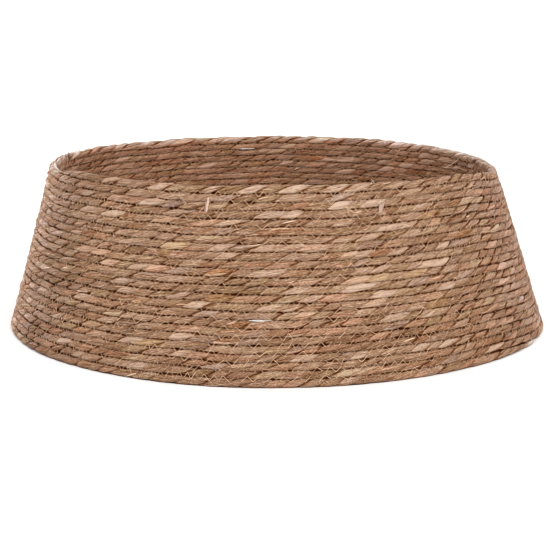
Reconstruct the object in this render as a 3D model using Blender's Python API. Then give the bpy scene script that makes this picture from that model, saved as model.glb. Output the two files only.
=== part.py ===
"""Tree collar wound from one seagrass rope.

The rope climbs in a spiral, course on course, and each groove between two
courses is closed by a zigzag stitch.  The wall leans inwards, so the collar is
wide on the floor and narrower at the rim.  It is open at the top and bottom.

Frame: metres, +Z up, floor at z = 0, origin under the middle of the base.
Azimuth 0 faces -Y (the front) and grows towards +X.
"""
import math

import bmesh
import bpy

# ---------------------------------------------------------------- dimensions
PITCH = 0.00775            # spacing of the courses, measured up the wall
ROPE_HALF_DEPTH = 0.0040   # half the rope's thickness through the wall
ROPE_FLAT = 0.0022         # half the width of the seat where courses touch
GAP = 0.0003               # play between touching pieces
BASE_RADIUS = 0.2871       # rope centre line of the lowest course
# unevenness of the hand-wound base: parts of the radius, by lobes round it
BASE_LOBES = ((2, 0.0224, 0.0090), (3, -0.0097, -0.0071), (4, 0.0099, -0.0011))
LEAN = 0.2627              # mean inward lean of the wall, radians
# and how the lean varies round the wall
LEAN_LOBES = ((1, -0.0067, 0.0079), (2, -0.0195, -0.0088), (3, -0.0196, -0.0168))
BULGE = -0.0006            # how far the wall swells out at mid height
RIM_TUCK = 0.0043          # how far the top courses are drawn in at the right
RIM_TUCK_AZIMUTH = 92.0
RIM_TUCK_SPREAD = 20.0
RIM_TUCK_FROM = 18.5       # courses up the wall
START_AZIMUTH = 47.5       # degrees, where the whole turns begin
END_AZIMUTH = -68.0        # degrees, where it ends on the rim
FULL_TURNS = 23            # whole turns before the last, partial one
SEGMENTS = 36              # facets per turn
CLIMB_FROM = 33 / SEGMENTS # part of a turn after which a course climbs to the next
HALVED_COURSE = 23         # the highest whole turn, made as two half turns
START_TAIL_DEGREES = 16.8  # the rope's start, a wedge under the first climb
TAIL_DEGREES = 10.0        # length of the tapered end on the rim
TAIL_TAPER = 0.6           # how much thinner that cut end is than the rope
STITCH_HALF_HEIGHT = 0.0019
STITCH_OUTER = 0.00345     # depth position of the stitch row's outer face
STITCH_INNER = 0.00255
STRIP_1_WIDTH = 0.0032     # the two blade strips laid across a splice
STRIP_2_WIDTH = 0.0044
STRIP_THICKNESS = 0.0006

LAST_TURN = FULL_TURNS + (START_AZIMUTH - END_AZIMUTH) / 360.0   # 23.39 turns
HALF_SEAT = (PITCH - GAP) / 2.0


# ------------------------------------------------------------- wall geometry
def azimuth(turn):
    """The rope runs clockwise seen from above, from START_AZIMUTH."""
    return math.radians(START_AZIMUTH) - 2.0 * math.pi * turn


def course_height(turn):
    """Courses up the wall: level on the floor, then one step up per turn."""
    whole = math.floor(turn + 1e-9)
    part = turn - whole
    x = min(max((part - CLIMB_FROM) / (1.0 - CLIMB_FROM), 0.0), 1.0)
    return whole + x * x * (3.0 - 2.0 * x)


def lobes(table, a):
    return sum(c * math.cos(n * a) + s * math.sin(n * a) for n, c, s in table)


def lean(a):
    return LEAN + lobes(LEAN_LOBES, a)


def base_radius(a):
    return BASE_RADIUS * (1.0 + lobes(BASE_LOBES, a))


def rim_tuck(a, courses):
    """How far the wall is drawn in, at the right of the rim only."""
    off = (math.degrees(a) - RIM_TUCK_AZIMUTH + 180.0) % 360.0 - 180.0
    up = min(max((courses - RIM_TUCK_FROM) / (FULL_TURNS - RIM_TUCK_FROM), 0.0), 1.0)
    return RIM_TUCK * math.exp(-(off / RIM_TUCK_SPREAD) ** 2) * up * up


def centre_shift():
    """Moves the middle of the base's outline onto the origin."""
    xs, ys = [], []
    for i in range(720):
        a = math.radians(i / 2.0)
        r = base_radius(a) + ROPE_HALF_DEPTH
        xs.append(r * math.sin(a))
        ys.append(-r * math.cos(a))
    return -(min(xs) + max(xs)) / 2.0, -(min(ys) + max(ys)) / 2.0


SHIFT_X, SHIFT_Y = centre_shift()


def wall_point(a, courses, depth=0.0, up=0.0, drawn_in=None):
    """World point at azimuth a, so many courses up the wall.

    depth is outwards through the wall and up is along it, both in metres.
    A course that is drawn in slides on its seat, so the courses stay in touch.
    """
    al = lean(a)
    depth -= rim_tuck(a, courses) if drawn_in is None else drawn_in
    s = courses / FULL_TURNS
    r = base_radius(a) - math.sin(al) * courses * PITCH + BULGE * 4 * s * (1 - s)
    z = PITCH / 2.0 + math.cos(al) * courses * PITCH
    r += depth * math.cos(al) - up * math.sin(al)
    z += depth * math.sin(al) + up * math.cos(al)
    return (SHIFT_X + r * math.sin(a), SHIFT_Y - r * math.cos(a), z)


# ------------------------------------------------------------------ sections
def rope_section(turn, scale=1.0, sink=0.0, inward=0.0):
    """Six-sided section, flat where it sits on the course below and above.

    The lowest course is flat and level underneath, where it stands on the
    floor.
    """
    a = azimuth(turn)
    h = course_height(turn)
    corners = [(ROPE_HALF_DEPTH, 0.0), (ROPE_FLAT, HALF_SEAT),
               (-ROPE_FLAT, HALF_SEAT), (-ROPE_HALF_DEPTH, 0.0),
               (-ROPE_FLAT, -HALF_SEAT), (ROPE_FLAT, -HALF_SEAT)]
    points = []
    for depth, up in corners:
        p = wall_point(a, h, depth * scale - inward, up * scale - sink)
        if h < 1.0 and up < 0.0:
            on_floor = 1.0 - min(h / 0.25, 1.0)
            p = (p[0], p[1], p[2] * (1.0 - on_floor))
        points.append(p)
    return points


def stitch_section(turn):
    """Shallow triangle lying in the outer groove above the course."""
    a = azimuth(turn)
    h = course_height(turn) + 0.5
    below, above = rim_tuck(a, h - 0.5), rim_tuck(a, h + 0.5)
    outer = STITCH_OUTER + (above - below) / 2.0
    return [wall_point(a, h, outer, STITCH_HALF_HEIGHT, above),
            wall_point(a, h, STITCH_INNER, 0.0, below),
            wall_point(a, h, outer, -STITCH_HALF_HEIGHT, below)]


# ------------------------------------------------------------------ building
def make_material(name, colour, roughness):
    mat = bpy.data.materials.new(name)
    mat.use_nodes = True
    bsdf = mat.node_tree.nodes["Principled BSDF"]
    bsdf.inputs["Base Color"].default_value = (*colour, 1.0)
    bsdf.inputs["Roughness"].default_value = roughness
    bsdf.inputs["Metallic"].default_value = 0.0
    return mat


def sweep(name, sections, material):
    """Loft a closed body through a list of sections and cap both ends."""
    bm = bmesh.new()
    rings = [[bm.verts.new(p) for p in section] for section in sections]
    count = len(rings[0])
    for ring, following in zip(rings, rings[1:]):
        for i in range(count):
            j = (i + 1) % count
            bm.faces.new((ring[i], ring[j], following[j], following[i]))
    bm.faces.new(rings[0])
    bm.faces.new(list(reversed(rings[-1])))
    bmesh.ops.recalc_face_normals(bm, faces=bm.faces)
    mesh = bpy.data.meshes.new(name)
    bm.to_mesh(mesh)
    bm.free()
    obj = bpy.data.objects.new(name, mesh)
    bpy.context.scene.collection.objects.link(obj)
    mesh.materials.append(material)
    return obj


def stations(first, last):
    """Turn values from first to last, on the common facet lines between.

    The lines are twice as close where the courses climb.
    """
    lines = []
    for i in range(math.floor(first * SEGMENTS) - 1, math.ceil(last * SEGMENTS) + 1):
        lines.append(i / SEGMENTS)
        if i / SEGMENTS - math.floor(i / SEGMENTS + 1e-9) > CLIMB_FROM - 1e-9:
            lines.append((i + 0.5) / SEGMENTS)
    near = 0.2 / SEGMENTS
    return [first] + [t for t in lines if first + near < t < last - near] + [last]


def end_gap(turn):
    """Half the gap between two butting rope ends, as a part of a turn."""
    a = azimuth(turn)
    x, y, _ = wall_point(a, course_height(turn))
    return GAP / 2.0 / (2.0 * math.pi * math.hypot(x, y))


def build_courses():
    material = make_material("seagrass_rope", (0.46, 0.30, 0.18), 0.75)
    body_end = LAST_TURN - TAIL_DEGREES / 360.0
    for index in range(FULL_TURNS + 1):
        name = "rope_course_%02d" % (index + 1)
        ends = [float(index), min(index + 1.0, body_end)]
        names = [name]
        if index + 1 == HALVED_COURSE:
            ends.insert(1, index + 0.5)
            names = [name + "_front", name + "_back"]
        for piece, first, last in zip(names, ends, ends[1:]):
            first += end_gap(first)
            last -= end_gap(last - 1e-6)
            rings = [rope_section(t) for t in stations(first, last)]
            sweep(piece, rings, material)
    return material, body_end


def start_ring(degrees):
    """Section of the rope's start, so far before the first whole turn."""
    a = math.radians(START_AZIMUTH + degrees)
    sunk = (1.0 - course_height(1.0 - degrees / 360.0)) * PITCH
    ring = []
    for depth, up in [(ROPE_HALF_DEPTH, 0.0), (ROPE_FLAT, HALF_SEAT),
                      (-ROPE_FLAT, HALF_SEAT), (-ROPE_HALF_DEPTH, 0.0),
                      (-ROPE_FLAT, -HALF_SEAT), (ROPE_FLAT, -HALF_SEAT)]:
        x, y, z = wall_point(a, 0.0, depth, up - sunk * (up + HALF_SEAT) / PITCH)
        ring.append((x, y, 0.0 if up < 0.0 else z))
    return ring


def build_start_tail(material):
    """The cut end: a wedge on the floor, under the course that climbs onto it."""
    step = 180.0 / SEGMENTS
    whole = int(START_TAIL_DEGREES / step)
    rings = [start_ring(360.0 * end_gap(0.0))]
    rings += [start_ring(i * step) for i in range(1, whole + 1)]
    part = START_TAIL_DEGREES / step - whole
    near, far = rings[-1], start_ring((whole + 1) * step)
    rings.append([[u + (v - u) * part for u, v in zip(p, q)] for p, q in zip(near, far)])
    sweep("rope_start_tail", rings, material)


def build_end_tail(material, body_end):
    """The other cut end: it thins and dips behind the rim."""
    steps = 4
    rings = []
    for i in range(steps + 1):
        f = i / steps
        turn = body_end + end_gap(body_end) + f * TAIL_DEGREES / 360.0
        size = 1.0 - TAIL_TAPER * f
        rings.append(rope_section(turn, size, sink=HALF_SEAT * (1.0 - size) * 0.92))
    sweep("rope_end_tail", rings, material)


def build_stitches(body_end):
    """One row of zigzag thread in each outer groove."""
    material = make_material("stitch_thread", (0.62, 0.42, 0.20), 0.6)
    for index in range(FULL_TURNS):
        first = index + end_gap(float(index))
        last = min(index + 1.0, body_end - 1.0)
        last -= end_gap(last - 1e-6)
        rings = [stitch_section(t) for t in stations(first, last)]
        sweep("stitch_row_%02d" % (index + 1), rings, material)


def build_strip(name, degrees, courses, width, material):
    """A short strip of blade laid flat over two courses."""
    a = math.radians(degrees)
    r = math.hypot(*wall_point(a, courses)[:2])
    half = width / 2.0 / r
    near = ROPE_HALF_DEPTH + GAP + 0.0002
    far = near + STRIP_THICKNESS
    rings = []
    for up in (-0.0060, 0.0, 0.0060):
        rings.append([wall_point(a - half, courses, near, up),
                      wall_point(a + half, courses, near, up),
                      wall_point(a + half * 0.6, courses, far, up),
                      wall_point(a - half * 0.6, courses, far, up)])
    sweep(name, rings, material)


def main():
    for obj in list(bpy.data.objects):
        bpy.data.objects.remove(obj, do_unlink=True)
    rope, body_end = build_courses()
    build_start_tail(rope)
    build_end_tail(rope, body_end)
    build_stitches(body_end)
    strip = make_material("blade_strip", (0.62, 0.47, 0.30), 0.7)
    build_strip("blade_strip_1", -13.6, 21.1, STRIP_1_WIDTH, strip)
    build_strip("blade_strip_2", 22.5, 20.4, STRIP_2_WIDTH, strip)


main()
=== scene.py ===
"""Looks of the tree collar: one two-ply seagrass rope wound in a spiral, with
zigzag stitching in every groove.  Metres, +Z up, azimuth 0 faces -Y (front)
and grows towards +X.  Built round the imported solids, which stay as they are.
"""

import math

import bpy
import numpy as np
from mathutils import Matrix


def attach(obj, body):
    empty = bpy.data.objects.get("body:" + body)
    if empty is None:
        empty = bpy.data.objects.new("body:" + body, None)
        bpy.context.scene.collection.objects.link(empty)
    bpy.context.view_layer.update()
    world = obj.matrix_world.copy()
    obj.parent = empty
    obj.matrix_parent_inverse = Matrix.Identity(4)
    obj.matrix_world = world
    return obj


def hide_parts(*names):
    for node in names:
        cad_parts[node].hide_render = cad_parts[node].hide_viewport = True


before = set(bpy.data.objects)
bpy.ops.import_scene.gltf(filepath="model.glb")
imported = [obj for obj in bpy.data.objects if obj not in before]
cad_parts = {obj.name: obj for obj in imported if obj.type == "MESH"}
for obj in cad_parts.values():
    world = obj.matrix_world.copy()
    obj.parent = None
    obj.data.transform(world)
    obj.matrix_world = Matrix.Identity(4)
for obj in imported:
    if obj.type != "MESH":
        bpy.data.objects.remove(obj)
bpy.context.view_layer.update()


# ------------------------------------------------- the wall, as the solids have it
PITCH = 0.00775
ROPE_HALF_DEPTH = 0.0040
BASE_RADIUS = 0.2871
BASE_LOBES = ((2, 0.0224, 0.0090), (3, -0.0097, -0.0071), (4, 0.0099, -0.0011))
LEAN = 0.2627
LEAN_LOBES = ((1, -0.0067, 0.0079), (2, -0.0195, -0.0088), (3, -0.0196, -0.0168))
BULGE = -0.0006
RIM_TUCK = 0.0043
RIM_TUCK_AZIMUTH = 92.0
RIM_TUCK_SPREAD = 20.0
RIM_TUCK_FROM = 18.5
START_AZIMUTH = 47.5
END_AZIMUTH = -68.0
FULL_TURNS = 23
CLIMB_FROM = 33 / 36
START_TAIL = 16.8 / 360.0
TAIL = 10.0 / 360.0
LAST_TURN = FULL_TURNS + (START_AZIMUTH - END_AZIMUTH) / 360.0
BODY_END = LAST_TURN - TAIL


def azimuth(turn):
    return math.radians(START_AZIMUTH) - 2.0 * math.pi * turn


def course_height(turn):
    whole = np.floor(turn + 1e-9)
    x = np.clip((turn - whole - CLIMB_FROM) / (1.0 - CLIMB_FROM), 0.0, 1.0)
    h = whole + x * x * (3.0 - 2.0 * x)
    return np.where(turn < 0.0, 0.0, h)


def lobes(table, a):
    return sum(c * np.cos(n * a) + s * np.sin(n * a) for n, c, s in table)


def lean(a):
    return LEAN + lobes(LEAN_LOBES, a)


def base_radius(a):
    return BASE_RADIUS * (1.0 + lobes(BASE_LOBES, a))


def rim_tuck(a, courses):
    off = (np.degrees(a) - RIM_TUCK_AZIMUTH + 180.0) % 360.0 - 180.0
    up = np.clip((courses - RIM_TUCK_FROM) / (FULL_TURNS - RIM_TUCK_FROM), 0.0, 1.0)
    return RIM_TUCK * np.exp(-(off / RIM_TUCK_SPREAD) ** 2) * up * up


def centre_shift():
    a = np.radians(np.arange(720) / 2.0)
    r = base_radius(a) + ROPE_HALF_DEPTH
    x, y = r * np.sin(a), -r * np.cos(a)
    return -(x.min() + x.max()) / 2.0, -(y.min() + y.max()) / 2.0


SHIFT_X, SHIFT_Y = centre_shift()


def wall_points(a, courses, depth=0.0, up=0.0, follows=None):
    """Points at azimuth a, so many courses up; depth outwards, up along the wall."""
    al = lean(a)
    depth = depth - rim_tuck(a, courses if follows is None else follows)
    s = courses / FULL_TURNS
    r = base_radius(a) - np.sin(al) * courses * PITCH + BULGE * 4 * s * (1 - s)
    z = PITCH / 2.0 + np.cos(al) * courses * PITCH
    r = r + depth * np.cos(al) - up * np.sin(al)
    z = z + depth * np.sin(al) + up * np.cos(al)
    return np.stack([SHIFT_X + r * np.sin(a), SHIFT_Y - r * np.cos(a), z], -1)


# ------------------------------------------------------------------ random fields
def smooth_noise(x, step, seed):
    """Smooth noise of about unit size along x, with knots so far apart."""
    rng = np.random.default_rng(seed)
    g = x / step
    low = int(math.floor(g.min())) - 1
    values = rng.uniform(-1.0, 1.0, int(math.ceil(g.max())) - low + 3)
    i = np.floor(g).astype(int)
    f = g - i
    f = f * f * (3.0 - 2.0 * f)
    return values[i - low] * (1.0 - f) + values[i - low + 1] * f


def wall_waves(a, h, seed, low, high, drift, count=26):
    """Waves shared by neighbouring courses, periodic round the wall, unit size."""
    rng = np.random.default_rng(seed)
    out = np.zeros(np.broadcast(a, h).shape)
    total = 0.0
    for _ in range(count):
        k = int(rng.integers(low, high))
        m = rng.uniform(-drift, drift)
        w = (low / k) ** 0.5
        out += w * np.sin(k * a + m * h + rng.uniform(0, 2 * math.pi))
        total += w * w
    return out / math.sqrt(total / 2.0)


# ------------------------------------------------------------- the rope's centre line
N_TURN = 1680                                    # stations in one turn
FIRST = -int(round(START_TAIL * N_TURN))
LAST = int(round(LAST_TURN * N_TURN))
STATION = np.arange(FIRST, LAST + 1)
TURN = STATION / N_TURN
AZ = azimuth(TURN)
HEIGHT = course_height(TURN)
_centre = wall_points(AZ, HEIGHT)
_steps = np.linalg.norm(np.diff(_centre, axis=0), axis=1)
ARC = np.concatenate([[0.0], np.cumsum(_steps)])
ARC -= ARC[-FIRST]                               # 0 where the first course starts

R_UP = 0.00408
R_DEPTH = 0.00416
LAY = 0.042                                      # length of one full twist

# blades that stand out: turn, height of their middle off the rope's (mm), how much paler
NOTABLE = [
    (23.0957, 1.0, 0.40), (21.0947, 1.2, 0.42), (23.1147, 0.8, 0.34), (23.1437, 1.0, 0.32), (10.0697, 1.0, 0.34),
    (23.1227, 0.1, 0.26), (23.1717, 1.0, 0.26), (13.1327, 0.4, 0.28), (17.0757, 1.2, 0.28), (16.1337, 1.1, 0.28),
    (4.2107, 0.0, 0.27), (16.1657, 0.1, 0.27), (23.0817, 0.0, 0.26), (15.0807, 1.2, 0.26), (15.1197, 1.2, 0.26),
    (19.2387, 1.2, 0.30), (3.1157, 0.8, 0.36), (3.1797, -1.0, 0.22), (21.2057, 1.2, 0.24), (23.2027, -1.0, 0.26),
    (3.0907, 1.2, 0.30), (20.1207, 1.2, 0.28), (4.1617, -1.2, 0.22), (21.0717, 1.2, 0.38), (10.1107, -0.2, 0.26),
    (5.1807, 0.5, 0.30), (13.0707, 1.2, 0.28), (19.2647, 1.1, 0.22), (10.0267, 0.8, 0.20), (20.1357, 1.2, 0.22),
    (3.0697, 1.2, 0.22), (13.2107, 1.2, 0.26), (18.0627, 0.3, 0.28), (11.0877, 1.2, 0.24), (11.1197, 1.2, 0.26),
    (13.0277, 1.1, 0.22), (8.2527, 1.1, 0.20), (9.0757, 1.2, 0.20), (16.1887, 1.2, 0.24), (12.0727, 1.2, 0.26),
    (12.0477, 1.2, 0.24), (15.0257, 0.8, 0.20), (21.2387, 1.2, 0.20), (20.1897, 1.2, 0.24), (10.2167, 1.2, 0.20),
    (7.0657, 1.2, 0.20), (3.0267, 1.2, 0.22), (3.0507, 1.2, 0.28),
    (19.4887, 0.5, 0.16), (21.4087, 0.5, 0.18), (16.7587, 0.5, 0.22), (18.7187, 0.5, 0.18), (20.8087, 0.5, 0.30),
    (18.581, 0.6, 0.22), (16.579, 0.3, 0.22), (16.609, -1.6, 0.22), (15.629, -2.0, 0.20), (21.769, 1.3, 0.36),
    (18.727, 0.4, 0.34), (19.747, 0.8, 0.36), (21.800, 0.8, 0.32), (21.837, 2.0, 0.34), (22.737, -1.1, 0.22),
    (20.770, 0.6, 0.30), (19.718, 0.5, 0.20),
]
# blades of another tinge: turn, 0.3 straw yellow, 0.55 orange brown or 0.8 greyish mauve
TINGED = [
    (12.067, 0.3), (12.046, 0.3), (15.198, 0.3), (10.154, 0.3), (16.196, 0.3), (4.196, 0.3), (8.030, 0.3),
    (16.072, 0.8), (15.045, 0.8), (18.156, 0.8), (5.171, 0.8), (13.019, 0.8), (21.188, 0.8), (11.222, 0.8),
    (16.024, 0.55), (16.003, 0.55), (14.974, 0.55), (13.155, 0.55), (19.031, 0.55), (7.150, 0.55), (9.204, 0.55),
    (20.012, 0.55), (18.620, 0.55), (20.600, 0.8), (19.664, 0.55), (21.540, 0.8), (16.702, 0.55),
]
# slits that let light through: turn of the course below, half length, opening
SLITS = [
    (7.1398, 0.0118, 0.0023), (17.6437, 0.0032, 0.0034), (17.6546, 0.0044, 0.0032),
    (18.6657, 0.0022, 0.0026), (20.6107, 0.0112, 0.0046),
]

_lay = LAY * (1.0 + 0.16 * smooth_noise(ARC, 0.11, 11) + 0.20 * smooth_noise(ARC, 0.030, 12))
PHASE = -np.concatenate([[0.0], np.cumsum(2 * math.pi * _steps / ((_lay[1:] + _lay[:-1]) / 2))])
SHARE = 0.5 + 0.13 * smooth_noise(ARC, 0.021, 13)  # part of the round that ply A takes


def lens_at(turn):
    """Station, angle past ply A's start, ply and half-turn number, at the face that is seen."""
    inner = 0.38 < turn % 1.0 < 0.88
    theta = math.pi - 0.25 if inner else 0.25
    i = int(round(turn * N_TURN)) - FIRST
    m = math.ceil((PHASE[i] - theta) / (2 * math.pi))
    past = theta + 2 * math.pi * m - PHASE[i]
    return i, past, int(past >= SHARE[i] * 2 * math.pi), 2 * m + inner


def settle_twist():
    """Shift the twist a little, so that notable blades are centred where they are seen."""
    found = []
    for turn, _, level in sorted(NOTABLE, key=lambda v: -v[2]):
        arc = float(np.interp(turn, TURN, ARC))
        if all(abs(arc - other) > 0.060 for other, _ in found):
            i, past, _, _ = lens_at(turn)
            moves = [past - SHARE[i] * math.pi, past - (1 + SHARE[i]) * math.pi,
                     past - (2 + SHARE[i]) * math.pi]
            found.append((arc, min(moves, key=abs)))
    found.sort()
    return PHASE + np.interp(ARC, [arc for arc, _ in found], [move for _, move in found])


PHASE = settle_twist()
THICK = (1.0 + 0.040 * smooth_noise(ARC, 0.070, 14) + 0.035 * smooth_noise(ARC, 0.020, 15)
         + 0.026 * smooth_noise(ARC, 0.008, 16))
NOTCH = np.clip(0.60 + 0.46 * smooth_noise(ARC, 0.013, 17), 0.16, 1.08)

NOTCH = np.clip(NOTCH + 0.26 * np.clip((TURN - (LAST_TURN - 1.0)) / 0.02, 0.0, 1.0), 0.16, 1.20)   # the rim shows its twist
_deg = (np.degrees(AZ) + 180.0) % 360.0 - 180.0
NOTCH *= 1.0 + 0.08 * np.clip((_deg - 26.0) / 16.0, 0.0, 1.0) * np.clip((110.0 - _deg) / 20.0, 0.0, 1.0)
TOP_BITE = np.zeros_like(TURN)                   # hollows that open a slit in the groove
LOW_BITE = np.zeros_like(TURN)
for _turn, _half, _open in SLITS:
    for _bite, _at in ((TOP_BITE, _turn), (LOW_BITE, _turn + 1.0)):
        _arc = np.interp(_at, TURN, ARC)
        _form = np.clip(1.0 - ((ARC - _arc) / _half) ** 2, 0.0, 1.0)
        _bite += (_open / 2 + R_UP - PITCH / 2) * _form ** 0.8
        THICK = 1.0 + (THICK - 1.0) * (1.0 - _form)
        NOTCH = NOTCH * (1.0 - 0.8 * _form)
# how open the groove is along it, and how dark its painted shade: short uneven dashes
DASH_TOP = np.clip(0.66 + 1.05 * smooth_noise(ARC, 0.0075, 18) + 0.40 * smooth_noise(ARC, 0.0025, 19), 0.0, 1.20)
DASH_LOW = np.interp(TURN - 1.0, TURN, DASH_TOP)

_firm = np.clip(HEIGHT / 2.0, 0.0, 1.0)
SHIFT_UP = (0.00034 * wall_waves(AZ, HEIGHT, 21, 5, 34, 0.30)
            + 0.00022 * smooth_noise(ARC, 0.034, 22)) * _firm
SHIFT_DEPTH = (0.00022 * wall_waves(AZ, HEIGHT, 23, 4, 26, 0.9)
               + 0.00034 * smooth_noise(ARC, 0.060, 24)
               + 0.00015 * smooth_noise(ARC, 0.016, 25))

# the rope's start is pressed to a wedge under the first climb, and its end thins
SCALE = np.ones_like(TURN)
PRESS = np.where(TURN < 0.0, course_height(1.0 + TURN), 1.0)
SINK = (1.0 - PRESS) * PITCH / 2
_f = np.clip((TURN - BODY_END) / TAIL, 0.0, 1.0)
SCALE *= 1.0 - 0.60 * _f ** 1.2
SINK += 0.60 * _f ** 1.2 * R_UP * 0.92

ROUND = 36
_u = np.arange(ROUND // 2) / (ROUND // 2)
U_PLY = _u - 0.45 * np.sin(2 * math.pi * _u) / (2 * math.pi)


def rope_section_radius(theta, n):
    c, s = np.abs(np.cos(theta)) / R_DEPTH, np.abs(np.sin(theta)) / R_UP
    return (c ** n + s ** n) ** (-1.0 / n)


BLADES = 9


def blade_tables(seed, kmin, kmax):
    """Blade edges across each lens, metres from its middle, and levels."""
    rng = np.random.default_rng(seed)
    n = (kmax - kmin + 1) * 2
    width = np.exp(rng.normal(math.log(0.0031), 0.45, (n, BLADES)))
    wide = rng.random(n) < 0.60                  # one blade fills the lens
    width[wide] *= 2.5
    width = np.clip(width, 0.0011, 0.0130)
    start = -0.0068 - rng.random(n) * width[:, 0]
    edge = start[:, None] + np.concatenate(
        [np.zeros((n, 1)), np.cumsum(width, 1)[:, :-1]], 1)
    level = rng.normal(0.0, 1.0, (n, BLADES + 1))
    slope = np.clip(rng.normal(0.16, 0.09, n), 0.0, 0.40)
    return edge, width, level, slope


K_MIN = int(math.floor((PHASE.min()) / math.pi)) - 3
K_MAX = int(math.ceil((PHASE.max() + 2 * math.pi) / math.pi)) + 3
EDGE, WIDTH, LEVEL, SLOPE = blade_tables(31, K_MIN, K_MAX)
PALE = np.zeros((K_MAX - K_MIN + 1) * 2)
for _turn, _, _level in NOTABLE:
    _, _, _ply, _k = lens_at(_turn)
    PALE[(_k - K_MIN) * 2 + _ply] = _level
TINGE = np.zeros_like(PALE)
for _turn, _tinge in TINGED:
    _, _, _ply, _k = lens_at(_turn)
    TINGE[(_k - K_MIN) * 2 + _ply] = _tinge


def lens_middle(k, ply):
    """Arc length where the middle of a ply faces straight out (or in)."""
    return np.interp(-((k - ply - 0.5) * math.pi), -PHASE, ARC)


def lens_fields(theta, ply, arc, k):
    """Blade coordinate, cross coordinate and the lens row for points."""
    row = (k - K_MIN) * 2 + ply
    s = 0.00402 * (theta - k * math.pi)
    q = s + SLOPE[row] * (arc - lens_middle(k, ply))
    b = np.zeros_like(q)
    for m in range(BLADES):
        b += np.clip((q - EDGE[row, m]) / WIDTH[row, m], 0.0, 1.0)
    return b, q, row


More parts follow.
